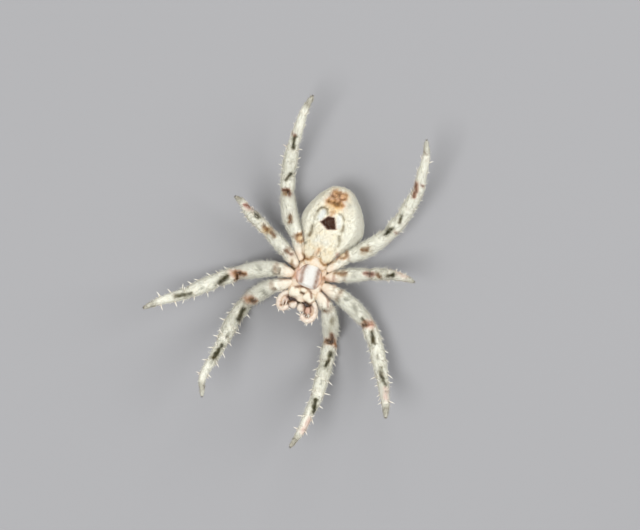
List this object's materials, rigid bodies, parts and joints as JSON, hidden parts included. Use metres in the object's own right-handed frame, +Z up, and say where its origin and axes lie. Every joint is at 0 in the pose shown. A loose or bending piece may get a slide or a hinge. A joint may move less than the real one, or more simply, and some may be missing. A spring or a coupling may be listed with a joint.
{
  "type": "orb weaver spider",
  "caption": "Life-size orb weaver spider lying on its back, belly up, with the legs spread and arched as in its web.",
  "frame": {"origin": "middle of the bounding box's underside, at the level the spider rests on", "axes": "+Z up, out of the belly; +Y towards the spinnerets; +X completes it, towards the spider's own right, which is on the viewer's right when the belly faces up and the head points down"},
  "size_m": [0.0292, 0.0372, 0.0088],
  "materials": {
    "leg_cream": "pale cream cuticle with olive and red-brown marks, finely haired",
    "belly_cream": "soft cream skin with a dark brown mark, white commas and olive lines",
    "carapace_tan": "tan cuticle with darker side bands under flat white hairs",
    "sternum_white": "brown plate with a white stripe down its middle",
    "mouth_pink": "pinkish cream mouth parts with brown streaks",
    "spinneret_brown": "orange-brown, soft satin",
    "fang_dark": "black-brown, glossy like horn",
    "eye_black": "black, wet gloss",
    "hair_pale": "fine pale hairs and thick pale spines",
    "claw_brown": "dark brown, glossy like horn"
  },
  "bodies": {
    "root": {"abdomen": "belly_cream", "pedicel": "belly_cream", "carapace": "carapace_tan", "sternum": "sternum_white", "labium": "mouth_pink", "endite_l": "mouth_pink", "endite_r": "mouth_pink", "chelicera_l": "mouth_pink", "chelicera_r": "mouth_pink", "palp_upper_l": "mouth_pink", "palp_lower_l": "mouth_pink", "palp_upper_r": "mouth_pink", "palp_lower_r": "mouth_pink", "fang_l": "fang_dark", "fang_r": "fang_dark", "eye_front_median_l": "eye_black", "eye_front_median_r": "eye_black", "eye_front_lateral_l": "eye_black", "eye_front_lateral_r": "eye_black", "eye_rear_median_l": "eye_black", "eye_rear_median_r": "eye_black", "eye_rear_lateral_l": "eye_black", "eye_rear_lateral_r": "eye_black", "spinneret_front_l": "spinneret_brown", "spinneret_front_r": "spinneret_brown", "spinneret_rear_l": "spinneret_brown", "spinneret_rear_r": "spinneret_brown", "epigyne": "spinneret_brown", "leg_l1_femur": "leg_cream", "leg_l1_tibia": "leg_cream", "leg_l1_foot": "leg_cream", "leg_l2_femur": "leg_cream", "leg_l2_tibia": "leg_cream", "leg_l2_foot": "leg_cream", "leg_l3_femur": "leg_cream", "leg_l3_tibia": "leg_cream", "leg_l3_foot": "leg_cream", "leg_l4_femur": "leg_cream", "leg_l4_tibia": "leg_cream", "leg_l4_foot": "leg_cream", "leg_r1_femur": "leg_cream", "leg_r1_tibia": "leg_cream", "leg_r1_foot": "leg_cream", "leg_r2_femur": "leg_cream", "leg_r2_tibia": "leg_cream", "leg_r2_foot": "leg_cream", "leg_r3_femur": "leg_cream", "leg_r3_tibia": "leg_cream", "leg_r3_foot": "leg_cream", "leg_r4_femur": "leg_cream", "leg_r4_tibia": "leg_cream", "leg_r4_foot": "leg_cream"}
  },
  "joints": []
}
